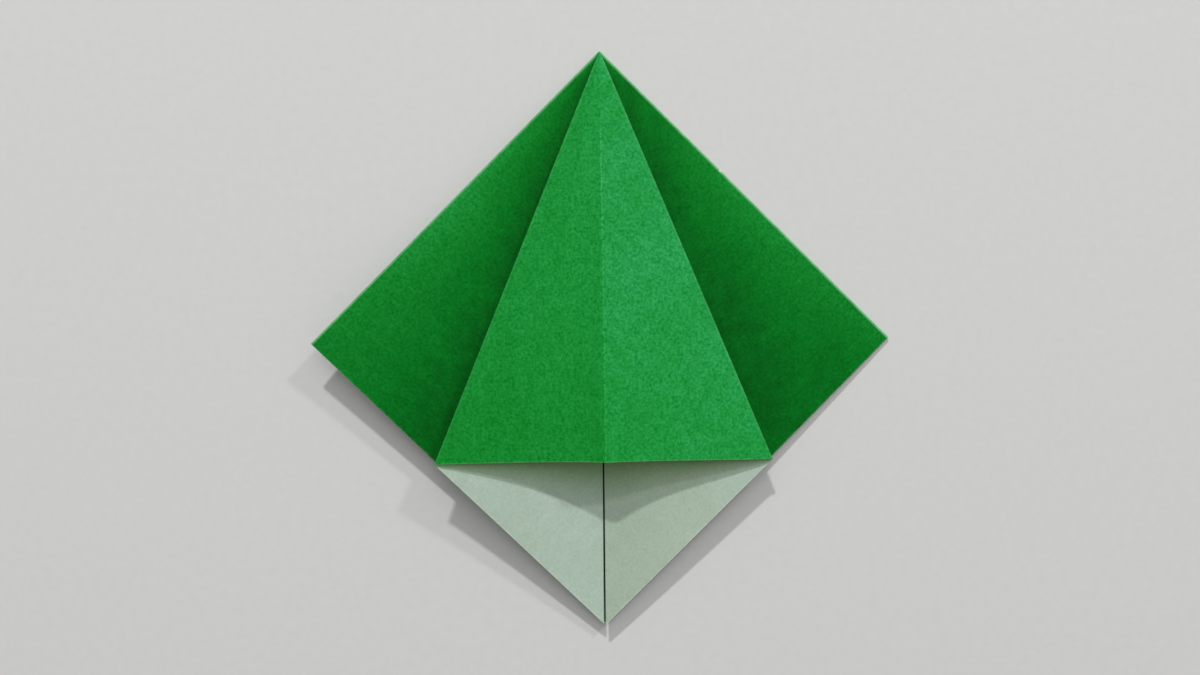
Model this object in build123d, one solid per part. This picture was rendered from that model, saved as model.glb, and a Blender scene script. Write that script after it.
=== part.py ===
from build123d import *
from itertools import pairwise
from math import acos, cos, degrees, radians, sin, sqrt, tan
import os

os.makedirs("parts", exist_ok=True)

# The sheet of paper, before it is folded.
paper_side = 150.0
paper_thickness = 0.1

# How tightly it is pressed.
layer_gap = 0.12        # air between two layers at the closed point
slit_width = 0.3        # left open between the flaps down the middle
ridge_radius = 0.4      # of the worn crease along the middle of the kite
point_length = 1.8      # of the closed point, where all the creases run together

# How far each fold springs open, in degrees.
lower_flap_opening = 0.3
left_flap_lift = 4.9
left_flap_opening = 0.4
kite_left_rise = 6.0
right_flap_opening = 1.3
kite_right_rise = 4.6

# The sheet's middle lines and diagonals meet at this angle. The squash fold halves it again.
eighth_turn = 45.0
half_kite = eighth_turn / 2

# Length of each kind of crease, from the middle of the sheet to its edge.
half_side = paper_side / 2
half_diagonal = half_side * sqrt(2)
kite_side = half_side / cos(radians(half_kite))

# Every crease is a ray from the middle of the sheet. Once round it, they run from the ridge of the
# kite, on top, down the left side to the crease that lies on the table, and up the right side.
down_the_left = [
    "ridge",
    "left_kite_edge",
    "left_upper_middle",
    "left_upper_edge",
    "left_lower_middle",
    "left_lower_edge",
    "table",
]
up_the_right = ["table", "right_edge", "right_middle", "right_kite_edge", "ridge"]

# On the flat sheet, a crease is a middle line, a diagonal or a side of the kite.
side_edges = ("left_upper_edge", "left_lower_edge", "right_edge")
beside_slit = ("left_upper_middle", "left_lower_middle", "right_middle")
kite_edges = ("left_kite_edge", "right_kite_edge")
crease_length = {name: half_side for name in (*side_edges, "ridge")}
crease_length |= {name: half_diagonal for name in (*beside_slit, "table")}
crease_length |= {name: kite_side for name in kite_edges}

# Heights of the layers' middles at the closed point. Both sides end at the kite on top, so the
# fewer layers on the right lie further apart.
layer_pitch = paper_thickness + layer_gap
bottom_height = paper_thickness / 2
left_steps = len(down_the_left) - 2
right_steps = len(up_the_right) - 2
stack_height = left_steps * layer_pitch
top_height = bottom_height + stack_height


def turned(direction, hinge, angle):
    # a direction turned about a crease, to the side on which it rises from the table
    one = direction.rotate(Axis((0, 0, 0), hinge), angle)
    other = direction.rotate(Axis((0, 0, 0), hinge), -angle)
    return one if one.Z > other.Z else other


def within(start, toward, angle):
    # the direction at an angle from one crease towards another, in the plane of both
    return start.rotate(Axis((0, 0, 0), start.cross(toward)), angle)


def closing(left, right, angle):
    # the upper one of the two directions at the same angle from two others
    middle = (left + right).normalized()
    half_spread = acos(left.dot(right)) / 2
    along = cos(radians(angle)) / cos(half_spread)
    normal = right.cross(left).normalized()
    upward = normal if normal.Z > 0 else -normal
    return middle * along + upward * sqrt(1 - along**2)


# Directions of the creases in the folded sheet. The layer on either side of the table crease lies
# on the table, and each other crease is where the fold that carries it, sprung open, puts it. The
# ridge closes the ring: it keeps the angle to both sides of the kite that it has in the flat sheet.
ray = {}
ray["table"] = Vector(0, -1, 0)
ray["left_lower_edge"] = ray["table"].rotate(Axis.Z, -eighth_turn)
ray["right_edge"] = ray["table"].rotate(Axis.Z, eighth_turn)
ray["left_lower_middle"] = turned(ray["table"], ray["left_lower_edge"], lower_flap_opening)
ray["left_upper_edge"] = turned(ray["left_lower_edge"], ray["left_lower_middle"], left_flap_lift)
ray["left_upper_middle"] = turned(ray["left_lower_middle"], ray["left_upper_edge"], left_flap_opening)
ray["right_middle"] = turned(ray["table"], ray["right_edge"], right_flap_opening)

on_left_flap = within(ray["left_upper_middle"], ray["left_upper_edge"], half_kite)
on_right_flap = within(ray["right_middle"], ray["right_edge"], half_kite)
ray["left_kite_edge"] = turned(on_left_flap, ray["left_upper_middle"], kite_left_rise)
ray["right_kite_edge"] = turned(on_right_flap, ray["right_middle"], kite_right_rise)
ray["ridge"] = closing(ray["left_kite_edge"], ray["right_kite_edge"], half_kite)


class Facet:
    # a flat field of the sheet between two neighbouring creases, at its height in the stack
    def __init__(self, first, last, height):
        self.first = first
        self.last = last
        self.base = Vector(0, 0, height)
        self.normal = ray[first].cross(ray[last]).normalized()
        # where the flat field ends beside each crease: a line's start, level with the point
        self.fold_line = {}

    def inward(self, crease):
        # in the facet's plane, square to one of its creases and away from it
        other = ray[self.last] if crease == self.first else ray[self.first]
        return (other - ray[crease] * other.dot(ray[crease])).normalized()

    def meets(self, crease, goal, direction):
        # how far along its fold line beside a crease the facet meets another line in its plane
        across = direction.cross(self.normal)
        return (goal - self.fold_line[crease]).dot(across) / ray[crease].dot(across)

    def span(self, crease):
        # from where to where the fold line beside a crease runs: the point and the raw edge
        other = self.last if crease == self.first else self.first
        edge_start = self.base + ray[self.first] * crease_length[self.first]
        edge_end = self.base + ray[self.last] * crease_length[self.last]
        at_point = self.meets(crease, self.fold_line[other], ray[other])
        at_edge = self.meets(crease, edge_start, edge_end - edge_start)
        return at_point, at_edge

    def plate(self):
        at_point, first_edge = self.span(self.first)
        last_edge = self.span(self.last)[1]
        outline = Wire.make_polygon([
            self.fold_line[self.first] + ray[self.first] * at_point,
            self.fold_line[self.first] + ray[self.first] * first_edge,
            self.fold_line[self.last] + ray[self.last] * last_edge,
        ])
        return extrude(Face(outline), amount=paper_thickness / 2, dir=self.normal, both=True)


class Fold:
    # a rounded crease between two facets, an arc that touches the planes of both
    def __init__(self, crease, before, after, inset=0, radius=None):
        self.crease = crease
        self.before = before
        self.after = after
        axis = ray[crease]
        corner = self.corner()
        into_before = before.inward(crease)
        into_after = after.inward(crease)
        half_opening = acos(into_before.dot(into_after)) / 2
        if radius is None:
            # the outside of the arc lies the given inset from the crease's own line
            line = (before.base + after.base) / 2
            line = line - axis * line.dot(axis)
            outside = (line - corner).length + inset
            radius = (outside + paper_thickness / 2) / (1 / sin(half_opening) - 1)
        reach = radius / tan(half_opening)
        before.fold_line[crease] = corner + into_before * reach
        after.fold_line[crease] = corner + into_after * reach
        self.radius = radius
        self.sweep = 180 - 2 * degrees(half_opening)
        self.centre = corner + (into_before + into_after).normalized() * (radius / sin(half_opening))
        self.outward = (corner - self.centre).normalized()

    def corner(self):
        # a point of the line in which the two facets' planes meet, level with the closed point
        axis = ray[self.crease]
        into_before = self.before.inward(self.crease)
        into_after = self.after.inward(self.crease)
        across = into_before.cross(axis)
        apart = self.before.base - self.after.base
        start = self.after.base - axis * self.after.base.dot(axis)
        return start + into_after * (apart.dot(across) / into_after.dot(across))

    def bend(self):
        # from the point to the raw edge, as far as both facets reach
        start = max(self.before.span(self.crease)[0], self.after.span(self.crease)[0])
        end = min(self.before.span(self.crease)[1], self.after.span(self.crease)[1])
        axis = ray[self.crease]
        section = Plane(self.centre + axis * start, x_dir=self.outward, z_dir=axis)
        half = self.sweep / 2
        outer = CenterArc((0, 0), self.radius + paper_thickness / 2, -half, self.sweep)
        inner = CenterArc((0, 0), self.radius - paper_thickness / 2, half, -self.sweep)
        ends = [Line(outer @ 1, inner @ 0), Line(inner @ 1, outer @ 0)]
        return extrude(section * make_face([outer, inner, *ends]), amount=end - start, dir=axis)


# The ten fields of the sheet, once round its middle.
facets = []
for step, (first, last) in enumerate(pairwise(down_the_left)):
    facets.append(Facet(first, last, top_height - step * layer_pitch))
for step, (first, last) in enumerate(pairwise(up_the_right)):
    facets.append(Facet(first, last, bottom_height + step * stack_height / right_steps))

# The creases between them. Folds at the sides of the square keep to its outline. Folds down the
# middle stop short of it, so that the slit stays open. The crease on the table lies flat.
folds = []
for place, facet in enumerate(facets):
    before = facets[place - 1]
    crease = facet.first
    if crease == "table":
        before.fold_line[crease] = before.base
        facet.fold_line[crease] = facet.base
    elif crease == "ridge":
        folds.append(Fold(crease, before, facet, radius=ridge_radius))
    elif crease in beside_slit:
        folds.append(Fold(crease, before, facet, inset=slit_width / 2))
    else:
        folds.append(Fold(crease, before, facet))

# The closed point: the corner of the square, in which the layers are pressed into one. Its top
# follows the two halves of the kite.
edge_length = point_length / cos(radians(eighth_turn))
left_end = ray["left_lower_edge"] * edge_length
right_end = ray["right_edge"] * edge_length
corner = Wire.make_polygon([Vector(0, 0, 0), left_end, right_end])
point = extrude(Face(corner), amount=2 * top_height, dir=(0, 0, 1))
for facet in (facets[0], facets[-1]):
    point = split(point, bisect_by=Plane(facet.base, z_dir=facet.normal), keep=Keep.TOP)

pieces = [facet.plate() for facet in facets] + [fold.bend() for fold in folds]
folded_sheet = point.fuse(*pieces)

# The middle of the square that lies on the table is the origin.
folded_sheet = Pos(0, half_diagonal / 2, 0) * folded_sheet
export_step(folded_sheet, "parts/folded_sheet.step")
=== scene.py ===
import math

import bmesh
import bpy
import numpy as np
from mathutils import Matrix, Vector, noise


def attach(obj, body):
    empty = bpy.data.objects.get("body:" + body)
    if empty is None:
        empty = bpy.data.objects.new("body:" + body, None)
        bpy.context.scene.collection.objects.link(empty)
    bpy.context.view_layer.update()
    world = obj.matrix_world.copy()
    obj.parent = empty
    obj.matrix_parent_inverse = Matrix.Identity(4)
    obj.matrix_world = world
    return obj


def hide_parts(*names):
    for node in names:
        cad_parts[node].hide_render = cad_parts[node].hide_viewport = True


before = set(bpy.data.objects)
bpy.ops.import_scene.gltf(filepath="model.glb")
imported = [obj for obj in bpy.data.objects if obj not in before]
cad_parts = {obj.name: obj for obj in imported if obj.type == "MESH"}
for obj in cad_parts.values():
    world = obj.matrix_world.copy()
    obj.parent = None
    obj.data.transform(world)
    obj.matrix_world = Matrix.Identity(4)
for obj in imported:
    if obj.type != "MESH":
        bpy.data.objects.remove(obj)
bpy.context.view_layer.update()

mm = 0.001

# Same sizes as the solid: one square sheet, its folds and how far each one springs open.
sheetSizes = {
    "side": 150 * mm,
    "thickness": 0.1 * mm,
    "layerGap": 0.12 * mm,       # air between layers at the closed point
    "slit": 0.3 * mm,            # open line down the middle
    "ridgeRadius": 0.4 * mm,
    "lowerFlapOpening": 0.3,     # degrees, as all the angles below
    "leftFlapLift": 4.9,
    "leftFlapOpening": 0.4,
    "kiteLeftRise": 6.0,
    "rightFlapOpening": 1.3,
    "kiteRightRise": 4.6,
    "rowsDown": 76,              # mesh rows from the point to the cut edge
    "rowCrowding": 1.15,         # above 1, rows lie closer together near the point
    "lastRow": 0.9985,           # one more row just inside the cut edge
    "columnsAcross": 30,         # mesh columns in each flat field
    "besideFold": 0.004,         # one more column just inside the field, at each of its folds
    "columnsRound": 9,           # mesh columns round each fold
    "bowStartsAcross": 0.09,     # share of a field beside each fold that eases into the bow
    "bowStartsDown": 0.05,       # and below the closed point
    "wavesDown": 2.3,            # waves of a fold's wander from the point to the cut edge
    "wavesApart": 0.7,           # keeps the folds' waves from looking alike
    "pointInset": 0.02 * mm,     # how far inside the square's corner the sheet's middle ends
    "mergeWithin": 0.001 * mm,   # mesh points closer than this become one
    "sharpAbove": 50,            # degrees between two faces from which their edge is drawn sharp
}

# Each fold: its angle round the flat sheet, how worn its outside is, how far it wanders (mm).
foldLooks = {
    "ridge": {"angle": 0, "worn": 0.80, "wander": 0.10},
    "leftKiteEdge": {"angle": 22.5, "worn": 0.06, "wander": 0.16},
    "leftUpperMiddle": {"angle": 45, "worn": 0.45, "wander": 0.05},
    "leftUpperEdge": {"angle": 90, "worn": 0.90, "wander": 0.22},
    "leftLowerMiddle": {"angle": 135, "worn": 0.45, "wander": 0.02},
    "leftLowerEdge": {"angle": 180, "worn": 0.90, "wander": 0.0},
    "table": {"angle": 225, "worn": 0.35, "wander": 0.0},
    "rightEdge": {"angle": 270, "worn": 1.00, "wander": 0.0},
    "rightMiddle": {"angle": 315, "worn": 0.45, "wander": 0.05},
    "rightKiteEdge": {"angle": 337.5, "worn": 0.16, "wander": 0.14},
}
foldOrder = list(foldLooks)

# Each flat field, from one fold to the next: how far its cut edge bows (mm) and where the bow lies
# (1 is in the middle). Then how pale the paper is at its first fold, half way and at its last
# fold, near the closed point and at the cut edge. This is partly the print's own tone and partly
# painted light and shade: the kite is painted paler, its right half more, as painted light, the
# flaps darker beside the kite's edges as painted shade and paler at their outer folds as painted
# light, and the white cool on the left and duller on the right for the two lamps. Hollow, for the
# same two ends, keeps the paleness close to the folds. Dip is painted shade beside the closed
# point: how much of the paleness is lost there, at the folds and half way.
fieldLooks = {
    ("ridge", "leftKiteEdge"): {
        "bow": -1.50, "lean": 0.75, "hollow": (0, 0), "dip": (0.08, 0.08),
        "tone": (0.87, 0.79, 0.77), "edgeTone": (0.54, 0.52, 0.52)},
    ("leftKiteEdge", "leftUpperMiddle"): {
        "bow": -0.18, "lean": 1.0, "hollow": (0, 0), "dip": (0, 0),
        "tone": (0.90, 0.90, 0.90), "edgeTone": (0.95, 0.80, 0.90)},
    ("leftUpperMiddle", "leftUpperEdge"): {
        "bow": -0.30, "lean": 1.0, "hollow": (0.9, 0), "dip": (0.70, 0),
        "tone": (0.0, 0.10, 1.02), "edgeTone": (0.0, 0.0, 0.43)},
    ("leftUpperEdge", "leftLowerMiddle"): {
        "bow": -0.30, "lean": 1.0, "hollow": (0, 0), "dip": (0, 0),
        "tone": (0.50, 0.50, 0.50), "edgeTone": (0.50, 0.50, 0.50)},
    ("leftLowerMiddle", "leftLowerEdge"): {
        "bow": 0.05, "lean": 1.0, "hollow": (0, 0), "dip": (0, 0),
        "tone": (0.30, 0.30, 0.50), "edgeTone": (0.24, 0.24, 0.40)},
    ("leftLowerEdge", "table"): {
        "bow": 0.0, "lean": 1.0, "hollow": (0, 0), "dip": (0, 0),
        "tone": (0.50, 0.40, 0.40), "edgeTone": (0.40, 0.32, 0.32)},
    ("table", "rightEdge"): {
        "bow": 0.0, "lean": 1.0, "hollow": (0, 0), "dip": (0, 0),
        "tone": (0.40, 0.40, 0.50), "edgeTone": (0.32, 0.32, 0.40)},
    ("rightEdge", "rightMiddle"): {
        "bow": 0.12, "lean": 1.0, "hollow": (0.6, 2.0), "dip": (0.95, 0),
        "tone": (0.84, 0.13, 0.0), "edgeTone": (0.40, 0.12, 0.05)},
    ("rightMiddle", "rightKiteEdge"): {
        "bow": 0.10, "lean": 1.0, "hollow": (0, 0), "dip": (0, 0),
        "tone": (1.20, 0.80, 0.80), "edgeTone": (0.10, 0.45, 0.80)},
    ("rightKiteEdge", "ridge"): {
        "bow": -0.65, "lean": 1.7, "hollow": (0, 0), "dip": (0.18, 0.18),
        "tone": (0.93, 0.90, 0.93), "edgeTone": (0.77, 0.745, 0.71)},
}
# The dip is painted shade beside the closed point.
dipStarts, dipEnds = 0.08, 0.5   # shares of the way down where the dip is deepest and where it ends
tipTone = 0.6                    # paleness right at the closed point
eighthTurn = 45                  # degrees between a middle line of the flat sheet and a diagonal
halfKite = eighthTurn / 2        # degrees between the ridge and each kite edge


# A direction turned about a fold, to the side on which it rises from the table.
def turnedUp(direction, hinge, degrees):
    one = Matrix.Rotation(math.radians(degrees), 3, hinge) @ direction
    other = Matrix.Rotation(math.radians(-degrees), 3, hinge) @ direction
    return one if one.z > other.z else other


# The direction at an angle from one fold towards another.
def between(start, toward, degrees):
    return Matrix.Rotation(math.radians(degrees), 3, start.cross(toward)) @ start


# Directions of the folds from the closed point, each carried by the fold under it.
def foldDirections(s):
    ray = {"table": Vector((0, -1, 0))}
    ray["leftLowerEdge"] = Matrix.Rotation(math.radians(-eighthTurn), 3, "Z") @ ray["table"]
    ray["rightEdge"] = Matrix.Rotation(math.radians(eighthTurn), 3, "Z") @ ray["table"]
    ray["leftLowerMiddle"] = turnedUp(ray["table"], ray["leftLowerEdge"], s["lowerFlapOpening"])
    ray["leftUpperEdge"] = turnedUp(ray["leftLowerEdge"], ray["leftLowerMiddle"], s["leftFlapLift"])
    ray["leftUpperMiddle"] = turnedUp(ray["leftLowerMiddle"], ray["leftUpperEdge"], s["leftFlapOpening"])
    ray["rightMiddle"] = turnedUp(ray["table"], ray["rightEdge"], s["rightFlapOpening"])
    onLeft = between(ray["leftUpperMiddle"], ray["leftUpperEdge"], halfKite)
    onRight = between(ray["rightMiddle"], ray["rightEdge"], halfKite)
    ray["leftKiteEdge"] = turnedUp(onLeft, ray["leftUpperMiddle"], s["kiteLeftRise"])
    ray["rightKiteEdge"] = turnedUp(onRight, ray["rightMiddle"], s["kiteRightRise"])
    # The ridge keeps half the kite's angle to both of its sides, which lifts it above them.
    left, right = ray["leftKiteEdge"], ray["rightKiteEdge"]
    along = math.cos(math.radians(halfKite)) / math.cos(left.angle(right) / 2)
    up = right.cross(left).normalized()
    up = up if up.z > 0 else -up
    ray["ridge"] = (left + right).normalized() * along + up * math.sqrt(1 - along**2)
    return ray


rays = foldDirections(sheetSizes)
halfSide = sheetSizes["side"] / 2
lipHalf = halfSide * math.tan(math.radians(halfKite))   # half the kite's near edge
apexPlace = Vector((0, halfSide / math.sqrt(2), 0))     # the closed point, over the origin's far side


# From the middle of the flat sheet to its cut edge, along a fold.
def foldLength(name):
    offMiddleLine = (foldLooks[name]["angle"] + eighthTurn) % (2 * eighthTurn) - eighthTurn
    return halfSide / math.cos(math.radians(offMiddleLine))


# One flat field: its plane, and the two lines beside its folds where it stops being flat.
class Field:
    def __init__(self, first, last, height):
        self.first, self.last = first, last
        self.base = Vector((0, 0, height))
        self.normal = rays[first].cross(rays[last]).normalized()
        self.foldLine = {}

    def inward(self, fold):
        other = rays[self.last] if fold == self.first else rays[self.first]
        return (other - rays[fold] * other.dot(rays[fold])).normalized()

    def meets(self, fold, goal, direction):
        across = direction.cross(self.normal)
        return (goal - self.foldLine[fold]).dot(across) / rays[fold].dot(across)

    def span(self, fold):
        other = self.last if fold == self.first else self.first
        edgeStart = self.base + rays[self.first] * foldLength(self.first)
        edgeEnd = self.base + rays[self.last] * foldLength(self.last)
        return (self.meets(fold, self.foldLine[other], rays[other]),
                self.meets(fold, edgeStart, edgeEnd - edgeStart))

    # Where a point of the field lies on the flat sheet.
    def flatPlace(self, point, fold):
        rel = point - self.base
        turn = math.radians(foldLooks[fold]["angle"])
        along, off = rel.dot(rays[fold]), rel.dot(self.inward(fold))
        if fold == self.last:
            off = -off
        return Vector((along * math.cos(turn) - off * math.sin(turn),
                       along * math.sin(turn) + off * math.cos(turn), 0))


# The round of a fold: an arc that touches the planes on both sides of it.
class Bend:
    def __init__(self, fold, before, after, inset=0.0, radius=None):
        axis = rays[fold]
        inBefore, inAfter = before.inward(fold), after.inward(fold)
        across = inBefore.cross(axis)
        start = after.base - axis * after.base.dot(axis)
        corner = start + inAfter * ((before.base - after.base).dot(across) / inAfter.dot(across))
        halfOpening = inBefore.angle(inAfter) / 2
        if radius is None:
            line = (before.base + after.base) / 2
            line = line - axis * line.dot(axis)
            outside = (line - corner).length + inset
            radius = (outside + sheetSizes["thickness"] / 2) / (1 / math.sin(halfOpening) - 1)
        reach = radius / math.tan(halfOpening)
        before.foldLine[fold] = corner + inBefore * reach
        after.foldLine[fold] = corner + inAfter * reach
        self.axis, self.radius = axis, radius
        self.centre = corner + (inBefore + inAfter).normalized() * (radius / math.sin(halfOpening))
        self.startArm = before.foldLine[fold] - self.centre
        self.sweep = math.pi - 2 * halfOpening
        turned = Matrix.Rotation(self.sweep, 3, axis) @ self.startArm
        if (turned - (after.foldLine[fold] - self.centre)).length > radius / 100:
            self.sweep = -self.sweep         # the arc opens the other way

    def point(self, share, along):
        arm = Matrix.Rotation(self.sweep * share, 3, self.axis) @ self.startArm
        return self.centre + arm + self.axis * along


# The fields from the ridge down the left to the table, and up the right, at their heights.
def makeFields():
    leftCount = foldOrder.index("table")
    rightCount = len(foldOrder) - leftCount
    pitch = sheetSizes["thickness"] + sheetSizes["layerGap"]
    bottom = sheetSizes["thickness"] / 2
    stack = (leftCount - 1) * pitch
    heights = [bottom + stack - step * pitch for step in range(leftCount)]
    heights += [bottom + step * stack / (rightCount - 1) for step in range(rightCount)]
    ends = foldOrder[1:] + foldOrder[:1]
    return [Field(a, b, h) for a, b, h in zip(foldOrder, ends, heights)]


def makeBends(fields):
    bends = {}
    for place, field in enumerate(fields):
        before, fold = fields[place - 1], field.first
        if fold == "table":
            before.foldLine[fold] = before.base.copy()
            field.foldLine[fold] = field.base.copy()
        elif fold == "ridge":
            bends[fold] = Bend(fold, before, field, radius=sheetSizes["ridgeRadius"])
        elif "Middle" in fold:
            bends[fold] = Bend(fold, before, field, inset=sheetSizes["slit"] / 2)
        else:
            bends[fold] = Bend(fold, before, field)
    return bends


# Slow unevenness along a fold, in metres: none at the closed point, full from half way down.
def wander(fold, share):
    if foldLooks[fold]["wander"] == 0:
        return 0.0
    apart = foldLooks[fold]["angle"] * sheetSizes["wavesApart"]
    place = Vector((share * sheetSizes["wavesDown"], apart, 0))
    return foldLooks[fold]["wander"] * mm * noise.noise(place) * min(1, share * 2)


# Where the mesh rows lie between the closed point, 0, and the cut edge, 1.
def rowShares():
    count = sheetSizes["rowsDown"]
    inner = [(row / count) ** sheetSizes["rowCrowding"] for row in range(1, count)]
    return [0.0] + inner + [sheetSizes["lastRow"], 1.0]


# Where the mesh columns lie between a field's two folds.
def columnShares():
    count, beside = sheetSizes["columnsAcross"], sheetSizes["besideFold"]
    inner = [column / count for column in range(1, count)]
    return [0.0, beside] + inner + [1 - beside, 1.0]


# How pale the paper is at one place of a field: the print's tone with painted light and shade.
def printToneAndPaintedLightAt(looks, part, share):
    tones = [up + (down - up) * share for up, down in zip(looks["tone"], looks["edgeTone"])]
    nearPoint = max(0, 1 - share / dipEnds) * min(1, share / dipStarts)
    atFold = tones[0 if part < 0.5 else 2] * (1 - looks["dip"][0] * nearPoint)
    halfWay = tones[1] * (1 - looks["dip"][1] * nearPoint)
    hollow = looks["hollow"][0] * (1 - share) + looks["hollow"][1] * share
    return halfWay + (atFold - halfWay) * abs(2 * part - 1) ** (1 + hollow)


# The bow at one place of a field, in metres. It starts gently, so that no fold gets sharper.
def bowAt(looks, part, share):
    gentle = min(1, min(part, 1 - part) / sheetSizes["bowStartsAcross"])
    across = math.sin(math.pi * part ** looks["lean"]) * gentle * gentle * (3 - 2 * gentle)
    return looks["bow"] * mm * across * share * min(1, share / sheetSizes["bowStartsDown"])


# Every column starts in an upright line at the closed point, at the height of its own layer.
def startOfColumn(column):
    first, _, _, tone = column[0]
    inset = sheetSizes["pointInset"]
    place = Vector((math.copysign(inset, first.x), -inset, first.z))
    return [(place, Vector((0, 0, 0)), 1.0, tone)] + column


# Goes once round the sheet and gives, for every mesh column, the points of its middle surface,
# their places on the flat sheet, how worn the paper is there and how pale, print and painted light
# and shade together, and which way the green side looks at the closed point.
def sheetGrid(fields, bends):
    columns, facings = [], []
    rows = rowShares()
    for place, field in enumerate(fields):
        before, fold = fields[place - 1], field.first
        looks = fieldLooks[(field.first, field.last)]
        looksBefore = fieldLooks[(before.first, before.last)]
        if fold in bends:
            bend = bends[fold]
            spanBefore, spanAfter = before.span(fold), field.span(fold)
            for step in range(1, sheetSizes["columnsRound"]):
                part = step / sheetSizes["columnsRound"]
                column = []
                for share in rows:
                    a = spanBefore[0] + (spanBefore[1] - spanBefore[0]) * share
                    b = spanAfter[0] + (spanAfter[1] - spanAfter[0]) * share
                    point = bend.point(part, a + (b - a) * part)
                    point.z += wander(fold, share)
                    flatA = before.flatPlace(before.foldLine[fold] + rays[fold] * a, fold)
                    flatB = field.flatPlace(field.foldLine[fold] + rays[fold] * b, fold)
                    toneA, toneB = printToneAndPaintedLightAt(looksBefore, 1, share), printToneAndPaintedLightAt(looks, 0, share)
                    column.append((point, flatA.lerp(flatB, part), foldLooks[fold]["worn"],
                                   toneA + (toneB - toneA) * part))
                columns.append(startOfColumn(column))
                facings.append(Matrix.Rotation(bend.sweep * part, 3, bend.axis) @ -before.normal)
        spanFirst, spanLast = field.span(field.first), field.span(field.last)
        wornFirst, wornLast = foldLooks[field.first]["worn"], foldLooks[field.last]["worn"]
        for part in columnShares():
            if part == 1.0 and field.last == "table":
                continue                 # the next field starts with the same column
            column = []
            for share in rows:
                first = field.foldLine[field.first] + rays[field.first] * (
                    spanFirst[0] + (spanFirst[1] - spanFirst[0]) * share)
                last = field.foldLine[field.last] + rays[field.last] * (
                    spanLast[0] + (spanLast[1] - spanLast[0]) * share)
                point = first.lerp(last, part)
                flat = field.flatPlace(point, field.first)
                point.z += wander(field.first, share) * (1 - part) + wander(field.last, share) * part
                point.z += bowAt(looks, part, share)
                column.append((point, flat, wornFirst + (wornLast - wornFirst) * part,
                               printToneAndPaintedLightAt(looks, part, share)))
            columns.append(startOfColumn(column))
            facings.append(-field.normal)
    return columns, facings


# Turns the grid into a sheet with two sides and a cut edge.
def makeSheet(columns, facings):
    rowCount, columnCount = len(columns[0]), len(columns)
    middle = np.array([[tuple(p[0]) for p in column] for column in columns])
    flat = np.array([[tuple(p[1]) for p in column] for column in columns])
    worn = np.array([[p[2] for p in column] for column in columns])
    # pale is the print's tone together with painted light and shade.
    pale = np.array([[p[3] for p in column] for column in columns])
    middle += np.array(tuple(apexPlace))

    # Which way the paper faces, towards its green side, from the neighbours on the grid. At the
    # closed point the grid has no width, so there it faces as its field does.
    acrossSheet = np.roll(middle, -1, axis=0) - np.roll(middle, 1, axis=0)
    downSheet = np.gradient(middle, axis=1)
    normals = np.cross(acrossSheet, downSheet)
    normals[:, :2] = np.array([tuple(facing) for facing in facings])[:, None]
    normals /= np.linalg.norm(normals, axis=2, keepdims=True)

    half = sheetSizes["thickness"] / 2
    tip = np.array((0, apexPlace.y - sheetSizes["pointInset"], middle[:, 0, 2].mean()))
    sides = {}
    points, places, wear, tone = [], [], [], []
    for side, sign in (("green", 1), ("white", -1)):
        start = len(points)
        sides[side] = start
        for c in range(columnCount):
            for r in range(rowCount):
                points.append(middle[c, r] + normals[c, r] * half * sign)
                places.append(flat[c, r])
                wear.append(worn[c, r])
                tone.append(pale[c, r])
        points.append(tip - np.array((0, half - half * sign, 0)))
        places.append((0, 0, 0))
        wear.append(1.0)
        tone.append(tipTone)
    tipOf = {side: sides[side] + columnCount * rowCount for side in sides}

    faces, kinds = [], []
    for side, kind in (("green", 0), ("white", 1)):
        start = sides[side]
        for c in range(columnCount):
            here, there = start + c * rowCount, start + (c + 1) % columnCount * rowCount
            loops = [(here, there, tipOf[side])]
            for r in range(rowCount - 1):
                loops.append((here + r, here + r + 1, there + r + 1, there + r))
            for loop in loops:
                faces.append(loop[::-1] if side == "green" else loop)
                kinds.append(kind)
    for c in range(columnCount):
        green = sides["green"] + c * rowCount + rowCount - 1
        greenNext = sides["green"] + (c + 1) % columnCount * rowCount + rowCount - 1
        shift = sides["white"] - sides["green"]
        faces.append((green, greenNext, greenNext + shift, green + shift))
        kinds.append(2)

    mesh = bpy.data.meshes.new("foldedPaper")
    mesh.from_pydata([tuple(p) for p in points], [], faces)
    mesh.polygons.foreach_set("material_index", kinds)
    mesh.polygons.foreach_set("use_smooth", [True] * len(faces))
    for name, kind, values in (
        ("sheetPlace", "FLOAT_VECTOR", np.array(places)),
        ("foldWear", "FLOAT", np.array(wear)),
        ("printToneAndPaintedLight", "FLOAT", np.array(tone)),
    ):
        layer = mesh.attributes.new(name, kind, "POINT")
        layer.data.foreach_set("vector" if kind == "FLOAT_VECTOR" else "value", values.ravel())
    tidy = bmesh.new()
    tidy.from_mesh(mesh)
    bmesh.ops.remove_doubles(tidy, verts=tidy.verts, dist=sheetSizes["mergeWithin"])
    tidy.to_mesh(mesh)
    tidy.free()
    mesh.set_sharp_from_angle(angle=math.radians(sheetSizes["sharpAbove"]))
    return mesh


mostNoise = 0.3, 0.7             # nearly all values of a noise lie between these

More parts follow.
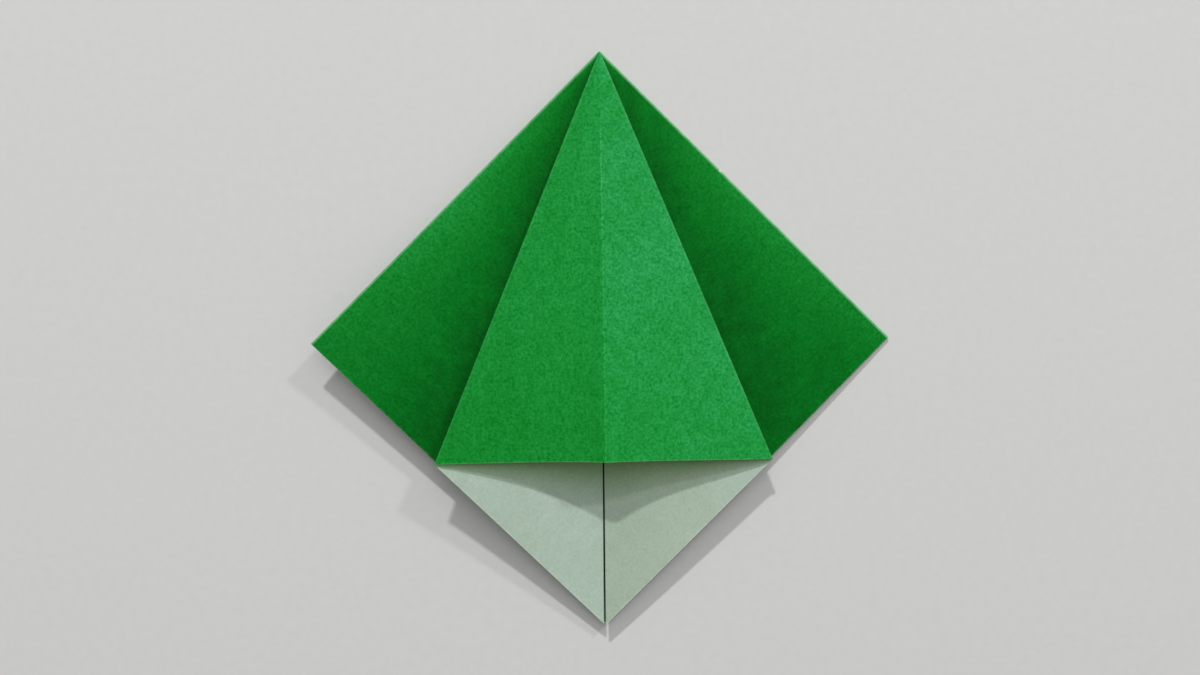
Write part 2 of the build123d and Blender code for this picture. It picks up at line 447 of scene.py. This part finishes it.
paperLooks = {
    "greens": (                                   # from deep to pale
        (0.0, (0.0008, 0.066, 0.0049, 1)),
        (0.25, (0.0014, 0.154, 0.0125, 1)),
        (0.50, (0.0052, 0.207, 0.0215, 1)),
        (0.75, (0.0116, 0.266, 0.0430, 1)),
        (1.0, (0.0265, 0.330, 0.1000, 1)),
    ),
    # The ramp also carries painted light: the white field on the left is set cool and the one on the right
    # duller and warmer, as the two lamps light them.
    "whites": (                                   # unprinted side, from dull and warm to cool
        (0.0, (0.335, 0.430, 0.335, 1)),
        (0.4, (0.370, 0.462, 0.362, 1)),
        (1.0, (0.406, 0.512, 0.430, 1)),
    ),
    # Painted green-tinted shade in the pocket and in the shadow of the kite's lip.
    "paintedShadeUnderKite": (0.58, 0.83, 0.40, 1),           # light through the printed kite tints the pocket
    "paintedShadeUnderKiteReach": (10 * mm, 1 * mm),          # how far in front of the lip: at the slit, at its ends
    "paintedShadeUnderKiteFade": 1.5,                         # above 1, it fades sooner
    # Painted shade: deep green on the white along the crease that shows through the slit.
    "paintedShadeInSlit": (0.10, 0.30, 0.10, 1),          # under the slit, green light between the layers
    "paintedShadeInSlitReach": (0.6 * mm, 2.0 * mm),      # full, and gone, beside the crease on the table
    "wornGreen": (0.15, 0.42, 0.19, 1),           # print rubbed off a fold
    "wornRidge": (0.065, 0.50, 0.14, 1),          # the same on the ridge
    "wornWhite": (0.52, 0.60, 0.50, 1),
    "cutFibres": (0.26, 0.34, 0.26, 1),
    "foldLine": 0.44 * mm,                        # how far wear reaches on each side of a fold
    "foldLineInside": 0.34 * mm,                  # and on the unprinted side
    "wornRagged": 0.15,                           # share of that reach by which its end strays
    "wornFullAt": 0.7,                            # share of it inside which the wear is full
    "wornPatches": (0.3, 0.6, 0.6, 1.0),          # noise from and to, share of the wear from and to
    "wornGrain": (0.36, 0.56, 0.65, 1.0),
    "ridgeLine": 0.2 * mm,                        # how far wear reaches beside the ridge
    "ridgeSpecks": (0.44, 0.60),                  # noise from and to, it is broken into specks
    "ridgeLineStarts": (12 * mm, 18 * mm),        # it comes in slowly below the closed point
    "ridgeLineThins": (26 * mm, 38 * mm),         # and loses this share of its strength here
    "ridgeLineLost": 0.5,
    "ridgeWedge": 0.2,                            # slope of the wedge in which a spot is on the ridge
    "cutLine": 0.22 * mm,                         # how far the cut edge's fibres reach
    "cutLineFullAt": 0.3,
    "cutLineGrain": (0.3, 0.6),
    "cutLineStrength": {"green": 0.3, "white": 0.8},
    "bareSpots": {                                # where the print is gone altogether
        "rightFoldedEdge": {"place": (0, -31.2 * mm, 0), "size": 0.32 * mm},
        "closedPoint": {"place": (0, 0, 0), "size": 0.5 * mm},
    },
    "bareSpotFullAt": 0.5,
    "grain": {"size": 0.56 * mm, "detail": 4.0, "rough": 0.7},
    "clumps": {"size": 1.8 * mm, "detail": 3.0, "rough": 0.6},
    "clumpShare": 0.24,                           # of the clumps in the grain
    "mottle": {"size": 3.2 * mm, "detail": 3.0, "rough": 0.55},
    "clouds": {"size": 14 * mm, "detail": 2.0, "rough": 0.5},
    "mottleTone": 0.045,                          # how far they shift the green's paleness
    "cloudTone": {"green": 0.04, "white": 0.18},
    "flecks": {                                   # noise from and to, times the green from and to
        "Red": (0.38, 0.68, 0.05, 2.45),
        "Green": (0.30, 0.74, 0.60, 1.50),
        "Blue": (0.36, 0.70, 0.42, 1.80),
    },
    "fleckTones": (0.0, 0.7, 0.78, 1.0),          # paleness from and to, strength of the flecks
    "greys": (0.34, 0.66, 0.90, 1.10),            # the same for the grain of the white side
    "greyMottle": (0.28, 0.72, 0.97, 1.03),
    "grainDepth": 0.012 * mm,
    "bump": 0.35,
    "specular": 0.04,
    "roughness": {"green": 0.66, "white": 0.72, "cut": 0.8},
    "roughnessSpread": (-0.06, 0.08),
}


# Short names for the shader nodes that the paper and the table need.
class PaperNodes:
    def __init__(self, name):
        self.material = bpy.data.materials.new(name)
        self.material.use_nodes = True
        self.tree = self.material.node_tree
        self.shader = self.tree.nodes["Principled BSDF"]

    def add(self, kind, inputs=(), **settings):
        node = self.tree.nodes.new(kind)
        for key, value in settings.items():
            setattr(node, key, value)
        for key, value in dict(inputs).items():
            self.feed(value, node.inputs[key])
        return node

    def feed(self, value, target):
        if isinstance(value, (int, float, tuple)):
            target.default_value = value
        else:
            self.tree.links.new(value, target)

    def math(self, kind, a, b=0.0):
        return self.add("ShaderNodeMath", {0: a, 1: b}, operation=kind).outputs["Value"]

    def blend(self, share, a, b, kind="MIX"):
        # By number, because the sockets for its colours share their names with other sockets.
        node = self.add("ShaderNodeMix", {"Factor": share, 6: a, 7: b}, data_type="RGBA", blend_type=kind)
        return node.outputs[2]

    def mixed(self, a, b, share):
        return self.add("ShaderNodeMix", {"Factor": share, "A": a, "B": b}).outputs["Result"]

    def band(self, source, low, high, outLow=0.0, outHigh=1.0):
        return self.add("ShaderNodeMapRange", {"Value": source, "From Min": low, "From Max": high,
                        "To Min": outLow, "To Max": outHigh}).outputs["Result"]

    def grain(self, place, size, detail=3.0, rough=0.55):
        return self.add("ShaderNodeTexNoise", {"Vector": place, "Scale": 1 / size, "Detail": detail,
                        "Roughness": rough}).outputs["Fac"]

    def ramp(self, source, stops):
        node = self.add("ShaderNodeValToRGB", {"Fac": source})
        while len(node.color_ramp.elements) < len(stops):
            node.color_ramp.elements.new(0.5)
        for element, (place, colour) in zip(node.color_ramp.elements, stops):
            element.position = place
            element.color = colour
        return node.outputs["Color"]

    def readSheet(self, name, output="Fac"):
        return self.add("ShaderNodeAttribute", attribute_name=name).outputs[output]


# What both sides share: the grain, and how far each spot is from a fold and from the cut edge.
class PaperGround(PaperNodes):
    def __init__(self, name, foldLine):
        super().__init__(name)
        self.foldLine = foldLine
        self.place = self.readSheet("sheetPlace", "Vector")
        grain = self.grain(self.place, **paperLooks["grain"])
        clumps = self.grain(self.place, **paperLooks["clumps"])
        self.fine = self.mixed(grain, clumps, paperLooks["clumpShare"])
        self.mottle = self.grain(self.place, **paperLooks["mottle"])
        self.cloud = self.grain(self.place, **paperLooks["clouds"])
        split = self.add("ShaderNodeSeparateXYZ", {0: self.place}).outputs
        x, y = self.math("ABSOLUTE", split["X"]), self.math("ABSOLUTE", split["Y"])
        # The ridge is rubbed in a narrower line than the folded edges.
        self.down = split["X"]
        wedge = self.math("MULTIPLY", self.down, paperLooks["ridgeWedge"])
        self.onRidge = self.math("LESS_THAN", y, wedge)
        spare = self.math("MULTIPLY", self.onRidge, foldLine - paperLooks["ridgeLine"])
        toAxis = self.math("MINIMUM", x, self.math("ADD", y, spare))
        apart = self.math("ABSOLUTE", self.math("SUBTRACT", x, y))
        toDiagonal = self.math("MULTIPLY", apart, math.sqrt(0.5))
        along = self.math("MULTIPLY", y, math.cos(math.radians(halfKite)))
        beside = self.math("MULTIPLY", self.down, math.sin(math.radians(halfKite)))
        toKite = self.math("ABSOLUTE", self.math("SUBTRACT", along, beside))
        self.toFold = self.math("MINIMUM", self.math("MINIMUM", toAxis, toDiagonal), toKite)
        self.toCut = self.math("SUBTRACT", halfSide, self.math("MAXIMUM", x, y))

    def wornFold(self):
        worn = self.readSheet("foldWear")
        ragged = paperLooks["wornRagged"] * self.foldLine
        toFold = self.math("ADD", self.toFold, self.band(self.fine, *mostNoise, -ragged, ragged))
        line = self.band(toFold, self.foldLine, self.foldLine * paperLooks["wornFullAt"])
        patches = self.band(self.mottle, *paperLooks["wornPatches"])
        whole = self.math("MULTIPLY", patches, self.band(self.fine, *paperLooks["wornGrain"]))
        specks = self.band(self.fine, *paperLooks["ridgeSpecks"])
        starts = self.band(self.down, *paperLooks["ridgeLineStarts"])
        thins = self.band(self.down, *paperLooks["ridgeLineThins"], 1, 1 - paperLooks["ridgeLineLost"])
        specks = self.math("MULTIPLY", specks, self.math("MULTIPLY", starts, thins))
        broken = self.mixed(whole, specks, self.onRidge)
        return self.math("MULTIPLY", line, self.math("MULTIPLY", worn, broken))

    def wornCut(self, strength):
        width = paperLooks["cutLine"]
        line = self.band(self.toCut, width, width * paperLooks["cutLineFullAt"])
        return self.math("MULTIPLY", line, self.band(self.fine, *paperLooks["cutLineGrain"], 0, strength))

    # Painted shade in the pocket, tinted green as light through the printed kite would tint it: 1 in
    # the pocket under the kite, less and less in front of its lip, reaching less far towards the kite's
    # corners as the lip's shadow does.
    def paintedShadeUnderKite(self):
        split = self.add("ShaderNodeSeparateXYZ", {0: self.place}).outputs
        x, y = split["X"], self.math("ABSOLUTE", split["Y"])
        depth = self.math("MULTIPLY", self.math("ADD", x, y), math.sqrt(0.5))
        outFront = self.math("SUBTRACT", depth, halfSide)
        fromSlit = self.math("MULTIPLY", self.math("SUBTRACT", x, y), math.sqrt(0.5))
        reach = self.band(fromSlit, 0, lipHalf, *paperLooks["paintedShadeUnderKiteReach"])
        near = self.band(self.math("DIVIDE", outFront, reach), 1.0, 0.0)
        return self.math("POWER", near, paperLooks["paintedShadeUnderKiteFade"])

    # Painted shade: 1 along the crease that lies on the table, which is what shows through the slit,
    # where the white is painted deep green for the dark between the layers.
    def paintedShadeInSlit(self):
        split = self.add("ShaderNodeSeparateXYZ", {0: self.place}).outputs
        apart = self.math("ABSOLUTE", self.math("SUBTRACT", split["X"], split["Y"]))
        toCrease = self.math("MULTIPLY", apart, math.sqrt(0.5))
        full, gone = paperLooks["paintedShadeInSlitReach"]
        onTableHalf = self.math("LESS_THAN", self.down, 0)
        return self.math("MULTIPLY", self.band(toCrease, gone, full), onTableHalf)

    def bareSpots(self):
        bare = 0.0
        for spot in paperLooks["bareSpots"].values():
            gap = self.add("ShaderNodeVectorMath", {0: self.place, 1: spot["place"]}, operation="DISTANCE")
            one = self.band(gap.outputs["Value"], spot["size"], spot["size"] * paperLooks["bareSpotFullAt"])
            bare = self.math("MAXIMUM", bare, one)
        return bare

    def finish(self, colour, roughness):
        self.feed(colour, self.shader.inputs["Base Color"])
        self.shader.inputs["Specular IOR Level"].default_value = paperLooks["specular"]
        less, more = paperLooks["roughnessSpread"]
        rough = self.band(self.fine, *mostNoise, roughness + less, roughness + more)
        self.feed(rough, self.shader.inputs["Roughness"])
        bump = self.add("ShaderNodeBump", {"Height": self.fine, "Strength": paperLooks["bump"],
                                           "Distance": paperLooks["grainDepth"]})
        self.feed(bump.outputs["Normal"], self.shader.inputs["Normal"])
        return self.material


def greenSide():
    n = PaperGround("greenSideOfPaper", paperLooks["foldLine"])
    mottle, cloud = paperLooks["mottleTone"], paperLooks["cloudTone"]["green"]
    # The tone read from the mesh is the print's tone with painted light and shade; mottle and clouds add
    # random tone.
    tone = n.math("ADD", n.readSheet("printToneAndPaintedLight"), n.band(n.mottle, *mostNoise, -mottle, mottle))
    tone = n.math("ADD", tone, n.band(n.cloud, *mostNoise, -cloud, cloud))
    colour = n.ramp(tone, paperLooks["greens"])
    bands = {channel: n.band(n.fine, *band) for channel, band in paperLooks["flecks"].items()}
    flecks = n.add("ShaderNodeCombineColor", bands).outputs["Color"]
    colour = n.blend(n.band(tone, *paperLooks["fleckTones"]), colour, flecks, "MULTIPLY")
    colour = n.blend(n.wornCut(paperLooks["cutLineStrength"]["green"]), colour, paperLooks["cutFibres"])
    rubbed = n.blend(n.onRidge, paperLooks["wornGreen"], paperLooks["wornRidge"])
    colour = n.blend(n.wornFold(), colour, rubbed)
    colour = n.blend(n.bareSpots(), colour, paperLooks["wornWhite"])
    return n.finish(colour, paperLooks["roughness"]["green"])


def whiteSide():
    n = PaperGround("whiteSideOfPaper", paperLooks["foldLineInside"])
    cloud = paperLooks["cloudTone"]["white"]
    # The tone read from the mesh is the white's tone with painted light and shade; clouds add random tone.
    tone = n.math("ADD", n.readSheet("printToneAndPaintedLight"), n.band(n.cloud, *mostNoise, -cloud, cloud))
    colour = n.ramp(tone, paperLooks["whites"])
    mottle = n.band(n.mottle, *paperLooks["greyMottle"])
    grey = n.math("MULTIPLY", n.band(n.fine, *paperLooks["greys"]), mottle)
    colour = n.blend(1.0, colour, grey, "MULTIPLY")
    # Painted green-tinted shade under the kite's lip.
    colour = n.blend(n.paintedShadeUnderKite(), colour, paperLooks["paintedShadeUnderKite"], "MULTIPLY")
    worn = n.math("MAXIMUM", n.wornFold(), n.wornCut(paperLooks["cutLineStrength"]["white"]))
    colour = n.blend(worn, colour, paperLooks["wornWhite"])
    # Painted shade in the slit, along the crease on the table.
    colour = n.blend(n.paintedShadeInSlit(), colour, paperLooks["paintedShadeInSlit"], "MULTIPLY")
    return n.finish(colour, paperLooks["roughness"]["white"])


def cutEdge():
    n = PaperGround("cutEdgeOfPaper", paperLooks["foldLine"])
    colour = n.blend(n.band(n.fine, *mostNoise), paperLooks["cutFibres"], paperLooks["wornWhite"])
    return n.finish(colour, paperLooks["roughness"]["cut"])


fields = makeFields()
bends = makeBends(fields)
sheet = bpy.data.objects.new("foldedSheetOfPaper", makeSheet(*sheetGrid(fields, bends)))
bpy.context.scene.collection.objects.link(sheet)
for make in (greenSide, whiteSide, cutEdge):
    sheet.data.materials.append(make())
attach(sheet, "root")
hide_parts("folded_sheet")
print("sheet folded:", len(sheet.data.polygons), "faces")

tableLooks = {
    "size": 3.0,
    "below": 0.05 * mm,          # keeps the table clear of the paper that lies on it
    "colour": (0.62, 0.62, 0.605, 1),
    "grain": 0.03,               # how much darker its grain gets
    "grainSize": 1.5 * mm,
    "roughness": 0.75,
    "specular": 0.15,
}


def makeTable():
    half = tableLooks["size"] / 2
    mesh = bpy.data.meshes.new("paleTable")
    corners = [(-half, -half, 0), (half, -half, 0), (half, half, 0), (-half, half, 0)]
    mesh.from_pydata(corners, [], [(0, 1, 2, 3)])
    table = bpy.data.objects.new("paleTable", mesh)
    bpy.context.scene.collection.objects.link(table)
    n = PaperNodes("paleTableTop")
    fine = n.grain(n.add("ShaderNodeTexCoord").outputs["Object"], tableLooks["grainSize"])
    tone = n.band(fine, *mostNoise, 1 - tableLooks["grain"], 1.0)
    n.feed(n.blend(1.0, tableLooks["colour"], tone, "MULTIPLY"), n.shader.inputs["Base Color"])
    n.shader.inputs["Roughness"].default_value = tableLooks["roughness"]
    n.shader.inputs["Specular IOR Level"].default_value = tableLooks["specular"]
    mesh.materials.append(n.material)
    table.location.z = -tableLooks["below"]


# Each lamp: height above the table and bearing from the far side (degrees), distance, width and
# height of its face, watts.
lampLooks = {
    "farLamp": {"height": 31.6, "bearing": -8, "distance": 2.0, "face": (0.14, 0.062), "watts": 25.7},
    "rightLamp": {"height": 30.2, "bearing": 38.5, "distance": 2.0, "face": (0.17, 0.11), "watts": 9.4},
    "softBox": {"height": 60, "bearing": 4, "distance": 2.0, "face": (1.4, 1.4), "watts": 10.0},
}


def makeLamps():
    for name, look in lampLooks.items():
        lamp = bpy.data.lights.new(name, "AREA")
        lamp.shape = "RECTANGLE"
        lamp.size, lamp.size_y = look["face"]
        lamp.energy = look["watts"]
        height, bearing = math.radians(look["height"]), math.radians(look["bearing"])
        away = Vector((math.sin(bearing) * math.cos(height), math.cos(bearing) * math.cos(height),
                       math.sin(height)))
        holder = bpy.data.objects.new(name, lamp)
        holder.location = away * look["distance"]
        holder.rotation_euler = away.to_track_quat("Z", "Y").to_euler()
        bpy.context.scene.collection.objects.link(holder)


roomLooks = {"colour": (1.0, 1.0, 1.0, 1), "strength": 0.34}


def makeWorld():
    world = bpy.data.worlds.new("softRoom")
    world.use_nodes = True
    light = world.node_tree.nodes["Background"]
    light.inputs["Color"].default_value = roomLooks["colour"]
    light.inputs["Strength"].default_value = roomLooks["strength"]
    bpy.context.scene.world = world


cameraLooks = {
    "above": 220 * mm,           # over the table
    "right": -0.309 * mm,        # of the middle of the square
    "far": 10.661 * mm,          # towards the closed point
    "pitch": -2.665,             # degrees off straight down
    "roll": -0.541,
    "lens": 35.592,              # in millimetres, for the sensor below
    "sensor": 36,
    "nearest": 10 * mm,          # nothing closer than this is drawn
}


def makeCamera():
    data = bpy.data.cameras.new("overheadCamera")
    data.lens = cameraLooks["lens"]
    data.sensor_width = cameraLooks["sensor"]
    data.clip_start = cameraLooks["nearest"]
    camera = bpy.data.objects.new("overheadCamera", data)
    camera.location = (cameraLooks["right"], cameraLooks["far"], cameraLooks["above"])
    camera.rotation_euler = (math.radians(cameraLooks["pitch"]), 0, math.radians(cameraLooks["roll"]))
    bpy.context.scene.collection.objects.link(camera)
    bpy.context.scene.camera = camera


makeTable()
makeLamps()
makeWorld()
makeCamera()
bpy.context.scene.view_settings.view_transform = "Standard"
print("table, lamps and camera placed")

bpy.context.view_layer.update()
